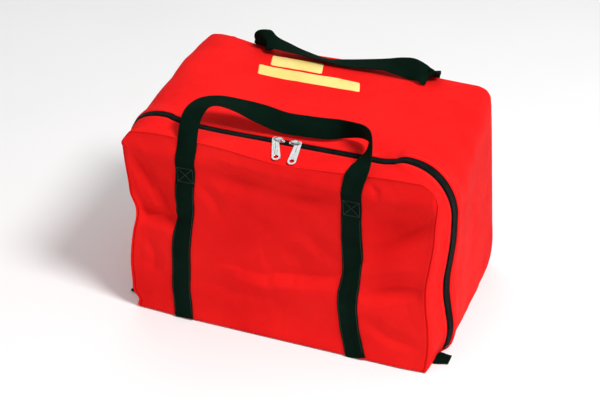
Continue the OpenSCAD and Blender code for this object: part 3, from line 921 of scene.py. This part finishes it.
# ---- the zipper
def zipper_frame(step):
    """Points on the zipper's middle line, a step apart, with the directions along, up its slope and out."""
    end_k, step_k, step_y, inside_z = 0.03, 0.002, 3, 150
    ks = np.linspace(end_k, 5 - end_k, 2600)
    _, index = evenly(bag(ZIP_Y, ks, -COIL_DOWN), step)
    k = np.interp(index, np.arange(len(ks)), ks)
    at = bag(ZIP_Y, k, -COIL_DOWN)
    ahead = unit(bag(ZIP_Y, k + step_k, -COIL_DOWN) - bag(ZIP_Y, k - step_k, -COIL_DOWN))
    slope = unit(bag(ZIP_Y + step_y, k, -COIL_DOWN) - bag(ZIP_Y - step_y, k, -COIL_DOWN))
    out = unit(np.cross(slope, ahead))
    out *= np.sign((out * (at - [0, ZIP_Y, inside_z])).sum(-1, keepdims=True))
    return at, ahead, slope, out


def teeth(name, side, material):
    """One half of the coil: a row of rounded loops that reach just over the middle line."""
    pitch = 2.3
    at, ahead, slope, out = zipper_frame(pitch / 2)
    pick = slice(0, None, 2) if side > 0 else slice(1, None, 2)
    at, ahead, slope, out = at[pick], ahead[pick], slope[pick] * side, out[pick]
    sides = 8
    reach = np.array([-1.0, -0.7, 0.4, 2.2, 4.4, 5.1, 5.3])
    wide = np.array([0.45, 0.86, 0.92, 0.62, 0.70, 0.66, 0.30])
    tall = np.array([0.7, 1.35, 1.5, 1.35, 1.45, 1.25, 0.6])
    angle = 2 * math.pi * (np.arange(sides) + 0.5) / sides
    a, b = np.cos(angle), np.sin(angle)
    points = (at[:, None, None] + slope[:, None, None] * reach[None, :, None, None]
              + ahead[:, None, None] * (wide[:, None] * a[None])[None, :, :, None]
              + out[:, None, None] * (tall[:, None] * b[None])[None, :, :, None])
    return make_object(name, points, tube_faces(*points.shape[:3], flip=side < 0), material)


def add_zipper(tape, coil):
    """Both halves of the tape and of the coil."""
    half, gap, thick, down = 15.5 * math.cos(ZIP_SLOPE), 0.9, 0.9, 2.5
    rear = band("zipper_tape_rear_half", ZIP_Y + gap, ZIP_Y + half, 2.5, tape, thick=thick, lift=-down)
    on_body(rear, "root", "black_tape", "zipper_tape_rear")
    front = band("zipper_tape_front_half", ZIP_Y - half, ZIP_Y - gap, 2.5, tape, thick=thick, lift=-down,
                 foot=FLAP_FOOT)
    on_body(front, "flap", "black_tape", "zipper_tape_front")
    on_body(teeth("zipper_teeth_rear", 1, coil), "root", "black_coil", "zipper_coil_rear")
    on_body(teeth("zipper_teeth_front", -1, coil), "flap", "black_coil", "zipper_coil_front")


def add_end_stops(metal):
    """A pressed clip round both halves of the coil at each lower end."""
    half_length, half_across, half_height, roundness = 2.3, 6.2, 2.0, 0.45
    rings = [(-1, 0.82), (-0.8, 1.0), (0.8, 1.0), (1, 0.82)]
    turns = np.radians(np.arange(0, 360, 30))
    at, ahead, slope, out = zipper_frame(1.0)
    for name, i in (("left", 3), ("right", -4)):
        points = []
        for along, size in rings:
            for c, s in zip(np.cos(turns), np.sin(turns)):
                across = np.sign(c) * abs(c) ** roundness * half_across * size
                up = np.sign(s) * abs(s) ** roundness * half_height * size
                points.append(at[i] + ahead[i] * along * half_length + slope[i] * across + out[i] * up)
        faces = tube_faces(1, len(rings), len(turns))
        piece = make_object(f"end_stop_{name}", points, faces, metal)
        on_body(piece, "root", "stop_metal", f"zipper_end_stop_{name}")


def add_topstitch(red_thread):
    """A row of stitches through the folded edge of the fabric on each side of the zipper."""
    from_edge, gap = 4.6, 4.0
    ks = np.linspace(0.04, 4.96, 1500)
    for name, y, body, foot in (("rear", REAR_EDGE + from_edge, "root", WALL_FOOT),
                                ("front", FRONT_EDGE - from_edge, "flap", FLAP_FOOT)):
        holes, index = evenly(bag(y, ks, 0, foot), gap)
        k = np.interp(index, np.arange(len(ks)), ks)
        normals = bag(y, k, 3, foot) - bag(y, k, 0, foot)
        piece = sewn(f"topstitch_{name}", [(holes, normals)], THREAD_R, red_thread)
        on_body(piece, body, "red_fabric")


def finish_sliders(chrome):
    """The sliders and their tabs are the CAD's own, with softened edges and plated metal."""
    for side in ("left", "right"):
        for part, edge in (("slider_body", 0.5), ("slider_crown", 0.35), ("pull_tab", 0.4)):
            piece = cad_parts[f"{part}_{side}"]
            piece.data.materials.clear()
            piece.data.materials.append(chrome)
            weld = piece.modifiers.new("weld", "WELD")
            weld.merge_threshold = 0.01 * MM
            bevel = piece.modifiers.new("soft_edges", "BEVEL")
            bevel.width, bevel.segments, bevel.limit_method = edge * MM, 3, "ANGLE"
            bevel.angle_limit = math.radians(35)


# ---- the webbing pieces
# The middle lines of the straps in X and Z, from the base up
LEFT_LINE = [(-179, 3), (-182, 35), (-184, 63), (-183, 92), (-182, 120), (-181, 154), (-177, 192),
             (-173, 220), (-170, 240), (-170, 268), (-167, 301), (-165, 320), (-164, 333)]
RIGHT_LINE = [(167, 3), (158, 33), (153, 55), (150, 77), (147, 104), (147, 128), (150, 152), (152, 173),
              (152, 203), (151, 240), (151, 278), (152, 310), (152, 333)]
LEFT_BACK_LINE = [(-178, 3), (-179, 80), (-180, 150), (-183, 240), (-187, 333)]
RIGHT_BACK_LINE = [(167, 3), (165, 80), (163, 150), (160, 240), (158, 333)]
# Where the front loop leaves the panel it rests on
LEAVES_PANEL_Z = 384
# The loops: the middle of the webbing, the direction across it, and its width there where a fold widens it
FRONT_LOOP = [
    (-164, -205.5, 340.5, -1, 0, 0.03), (-161, -206, 362, -1, 0, 0.03), (-159, -204, 386, -1, 0, 0.03),
    (-159, -194, 408, -1, 0.02, 0.05), (-158, -176, 427, -0.98, 0.10, 0.10),
    (-148, -154, 437, -0.84, 0.54, 0.05), (-124, -138, 438, -0.42, 0.90, 0.05),
    (-88, -132, 432, -0.20, 0.95, 0.22), (-45, -130, 422, -0.16, 0.74, 0.65),
    (-5, -130, 414, -0.19, 0.46, 0.87), (35, -129, 414, -0.10, 0.44, 0.89),
    (75, -126, 415, -0.02, 0.30, 0.95), (108, -122, 419, 0, -0.15, 0.98), (138, -128, 424, 0.10, -0.45, 0.88),
    (160, -148, 427, 0.25, -0.60, 0.76), (169, -173, 419, 0.50, -0.60, 0.65),
    (168, -197, 400, 0.88, -0.22, 0.36), (162, -206.5, 384, 0.97, -0.06, 0.18),
    (156, -207.5, 368, 1, -0.02, 0.06), (152, -205.5, 340.5, 1, 0, 0)]
REAR_LOOP = [
    (-187, 209.4, 340.5, -1, 0, 0), (-188, 209.6, 362, -1, 0, 0), (-188, 208.5, 384, -1, 0, 0.05),
    (-186, 203, 399, -1, 0, 0.05), (-181, 190, 402, -1, 0, 0.10), (-176, 180, 406, -0.95, -0.05, 0.30),
    (-172, 174, 417, -0.68, -0.03, 0.73, 1.32), (-167, 172, 421, -0.50, 0.05, 0.86, 1.15),
    (-150, 175, 416, -0.05, 0.93, 0.22), (-124, 175, 411, 0, 1, -0.03), (-94, 175, 405, 0, 0.96, -0.21),
    (-44.5, 168, 402, 0, 0.93, -0.32), (-1, 168, 402.5, -0.10, 0.98, -0.08),
    (46, 170, 407.5, -0.10, 0.98, 0.07), (80.5, 170, 412.5, -0.15, 0.95, 0.20),
    (109, 168, 414.5, -0.05, 0.75, 0.62), (134, 166, 414, 0.10, 0.55, 0.83, 1.1),
    (154, 163, 411.5, 0.30, 0.72, 0.62), (167, 159, 406, 0.48, 0.84, 0.24),
    (170, 172, 402, 0.60, 0.75, 0.15), (167, 187, 401, 0.80, 0.50, 0.10), (162, 201, 399, 0.97, 0.20, 0.05),
    (159, 208.5, 391, 1, 0, 0), (158, 209.6, 376, 1, 0, 0), (158, 209.6, 360, 1, 0, 0),
    (158, 209.4, 340.5, 1, 0, 0)]
# Depths of the webbing below the loops, before it is sewn down
FRONT_WEB_Y = -206.0
BACK_WEB_Y = 209.4
# The webbing lies this far to the front of a face: clear of the front panel, pressed into the back one
WEB_SHIFT = 0.25
# Heights between which the webbing comes free of its panel
WEB_FREE = (HANDLE_Z - 14, HANDLE_Z + 12)
# The stitched boxes: height and size. The rows of stitches below them: lowest and highest, and from the edge
BOX_Z, BOX_SIZE = 313, 30
ROW_LOW, ROW_HIGH, ROW_IN = 14, 296, 2.6


def whole_route(left, loop, right, y):
    """One webbing from the base up the left line, round the loop and down the right line."""
    up = [(x, y, z, -1, 0, 0, 1) for x, z in left[:-1]]
    down = [(x, y, z, 1, 0, 0, 1) for x, z in right[-2::-1]]
    full_width = 1
    loop = [(*row, full_width)[:7] for row in loop]
    rows = glide(up + loop + down, 7)
    return rows[:, :3], rows[:, 3:6], rows[:, 6]


def sewn_down(points, section, face, panel_face, outward):
    """Points of a webbing sewn down on a panel below its loop, and the depths at which it would lie there."""
    x, z = points[..., 0], points[..., 2]
    above = WEB_T / 2 + section[:, 1][None, :] * np.sign(outward * face[:, 1])[:, None]
    lying = panel_face(x, z) - WEB_SHIFT + outward * above
    share = 1 - ease(z, *WEB_FREE)
    out = points.copy()
    out[..., 1] = points[..., 1] * (1 - share) + lying * share
    out[..., 2] = np.maximum(z, LOWEST_Z)
    return out, lying


def settle_front(points, section, face):
    """Sews the webbing down on the front panel, and rests it on the panel up to where the loop leaves it."""
    out, lying = sewn_down(points, section, face, front_face, -1)
    resting = (points[..., 2] < LEAVES_PANEL_Z) & (points[..., 1] < FRONT_EDGE)
    out[..., 1] = np.where(resting, np.minimum(out[..., 1], lying), out[..., 1])
    return out


def settle_rear(points, section, face):
    """Sews the webbing down on the back panel, and keeps the loop above the top that it lies on."""
    out, _ = sewn_down(points, section, face, back_face, 1)
    x, y, z = out[..., 0], np.minimum(out[..., 1], BACK_Y), out[..., 2]
    clear = WEB_T / 2 + 0.3
    lowest = bag(y, top_place(x, y))[..., 2] + clear + section[:, 1][None, :]
    over_top = (z > HANDLE_Z + 40) & (out[..., 1] < BACK_Y)
    out[..., 2] = np.where(over_top, np.maximum(z, lowest), z)
    return out


def waviness(centres, seed):
    """A small unevenness of a hand-sewn strap."""
    run = run_length(centres)
    return np.column_stack([lumps(run, 0 * run, 34, seed) * 0.5, 0 * run, 0 * run])


def add_front_webbing(webbing):
    """Both front straps and the loop, in one piece."""
    centres, widths, wide = whole_route(LEFT_LINE, FRONT_LOOP, RIGHT_LINE, FRONT_WEB_Y)
    piece = strap("front_webbing", centres + waviness(centres, 5), widths, webbing, taper=wide,
                  settle=settle_front)
    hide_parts("front_strap_left", "front_strap_right", "front_handle")
    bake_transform(piece)


def add_rear_webbing(webbing):
    """Both back straps and the loop, in the same way."""
    centres, widths, wide = whole_route(LEFT_BACK_LINE, REAR_LOOP, RIGHT_BACK_LINE, BACK_WEB_Y)
    piece = strap("rear_webbing", centres + waviness(centres, 6), widths, webbing, taper=wide,
                  settle=settle_rear)
    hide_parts("back_strap_left", "back_strap_right", "rear_handle")
    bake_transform(piece)


def add_base_webbing(webbing):
    """The webbing under the base, from the front straps to the back ones."""
    front_y, length, z, rows = -195, 399.5, 1.1, 60
    t = np.linspace(0, 1, rows)
    for name, x in (("left", LEFT_BACK_LINE[0][0]), ("right", RIGHT_BACK_LINE[0][0])):
        centres = np.column_stack([x + 0 * t, front_y + length * t, z + 0 * t])
        widths = np.tile([-1.0, 0.0, 0.0], (rows, 1))
        piece = strap(f"base_webbing_{name}", centres + waviness(centres, 8), widths, webbing, thick=2.1)
        on_body(piece, "root", "black_webbing", f"base_strap_{name}")


def add_end_tabs(webbing):
    """The folded ends of webbing under the zipper's ends, narrower and a little raised at the tip."""
    length, y, z, rise, rows = 56, -151, 1.1, 2.2, 22
    t = np.linspace(0, 1, rows)
    for name, tip, side in (("left", -316, -1), ("right", 328, 1)):
        centres = np.column_stack([tip - side * length * (1 - t), y + 1.5 * t, z + rise * t ** 2])
        widths = np.tile([-0.12, side, 0], (rows, 1))
        piece = strap(f"end_tab_{name}", centres, widths, webbing, taper=1 - 0.3 * ease(t, 0.55, 1))
        on_body(piece, "root", "black_webbing", f"zipper_end_tab_{name}")


def box_lines(centre_x, depth, outward):
    """A stitched square with a cross in it, on a strap's face."""
    half, gap = BOX_SIZE / 2, 3.2
    corners = [(-half, -half), (half, -half), (half, half), (-half, half)]
    ends = [*zip(corners, corners[1:] + corners[:1]), (corners[0], corners[2]), (corners[1], corners[3])]
    lines = []
    for (x0, z0), (x1, z1) in ends:
        count = int(math.hypot(x1 - x0, z1 - z0) / gap) + 1
        s = np.linspace(0, 1, count)
        x, z = centre_x + x0 + (x1 - x0) * s, BOX_Z + z0 + (z1 - z0) * s
        holes = np.column_stack([x, depth(x, z), z])
        lines.append((holes, np.tile([0.0, outward, 0.0], (count, 1))))
    return lines


def edge_lines(line, depth, outward):
    """Two rows of stitches along a sewn strap."""
    rows = glide([(x, 0, z) for x, z in line], 12)
    rows = rows[(rows[:, 2] > ROW_LOW) & (rows[:, 2] < ROW_HIGH)]
    made = []
    for off in (-WEB_W / 2 + ROW_IN, WEB_W / 2 - ROW_IN):
        holes, _ = evenly(rows + [off, 0, 0], 4.2)
        holes[:, 1] = depth(holes[:, 0], holes[:, 2])
        made.append((holes, np.tile([0.0, outward, 0.0], (len(holes), 1))))
    return made


def add_strap_stitching(black_thread):
    """The boxes and edge rows on the sewn parts of all four straps."""
    def on_front(x, z):
        return front_face(x, z) - WEB_SHIFT - WEB_T

    def on_back(x, z):
        return back_face(x, z) - WEB_SHIFT + WEB_T

    for name, body, depth, outward, boxes, routes in (
            ("front", "flap", on_front, -1, (-165.5, 152), (LEFT_LINE, RIGHT_LINE)),
            ("back", "root", on_back, 1, (-186, 159), (LEFT_BACK_LINE, RIGHT_BACK_LINE))):
        lines = []
        for x in boxes:
            lines += box_lines(x, depth, outward)
        for route in routes:
            lines += edge_lines(route, depth, outward)
        piece = sewn(f"{name}_strap_threads", lines, THREAD_R, black_thread)
        on_body(piece, body, "black_thread", f"{name}_strap_stitching")


def finish_board(plastic):
    """The base board is the CAD's own, in pebbled plastic."""
    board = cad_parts["base_board"]
    board.data.materials.clear()
    board.data.materials.append(plastic)


add_camera()
add_studio()
RED = red_nylon()
WEBBING = black_webbing()
TAPE = black_tape()
add_wrap(RED)
add_gusset(RED)
add_front_panel(RED)
add_back_panel(RED)
add_base_panel(RED)
add_bindings(TAPE)
add_base_binding(TAPE)
add_print(print_ink())
add_zipper(TAPE, coil_nylon())
add_end_stops(polished_metal("stop_steel", (0.020, 0.024, 0.023), 0.38))
add_topstitch(thread("red_thread", (0.50, 0.010, 0.010), (0.72, 0.020, 0.018)))
finish_sliders(polished_metal("slider_chrome", (0.70, 0.71, 0.71), 0.2))
add_front_webbing(WEBBING)
add_rear_webbing(WEBBING)
add_base_webbing(WEBBING)
add_end_tabs(WEBBING)
add_strap_stitching(thread("black_thread", (0.003, 0.010, 0.007), (0.011, 0.030, 0.020)))
finish_board(board_plastic())
